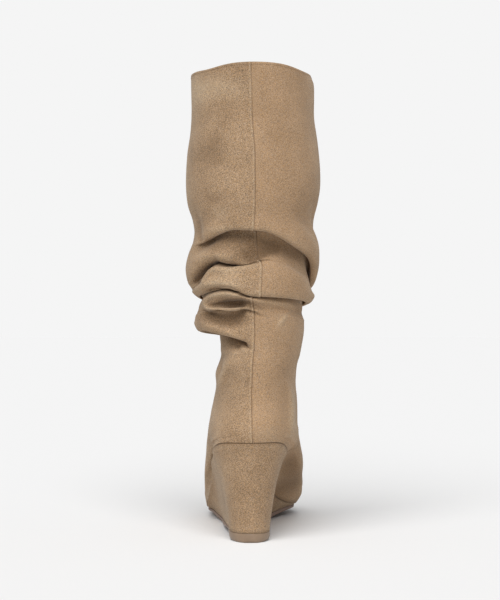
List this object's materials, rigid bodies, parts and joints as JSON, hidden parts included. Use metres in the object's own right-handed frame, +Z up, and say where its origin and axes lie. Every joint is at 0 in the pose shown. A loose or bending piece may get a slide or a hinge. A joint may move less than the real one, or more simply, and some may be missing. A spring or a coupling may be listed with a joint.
{
  "type": "slouch wedge boot, left",
  "caption": "Left boot: a pull-on slouchy suede wedge boot with a folded shaft, a covered wedge heel and a thin flat sole.",
  "frame": {"origin": "middle of the heel lift's bottom face, on the floor", "axes": "+Y towards the toe, +X towards the inner side of the foot, +Z up"},
  "size_m": [0.1212, 0.2366, 0.413],
  "materials": {
    "suede": "matte",
    "lift_rubber": "satin",
    "sole_leather": "satin",
    "lining": "matte"
  },
  "bodies": {
    "root": {"upper": "suede", "wedge": "suede", "heel_lift": "lift_rubber", "outsole": "sole_leather", "insole": "lining"}
  },
  "joints": []
}
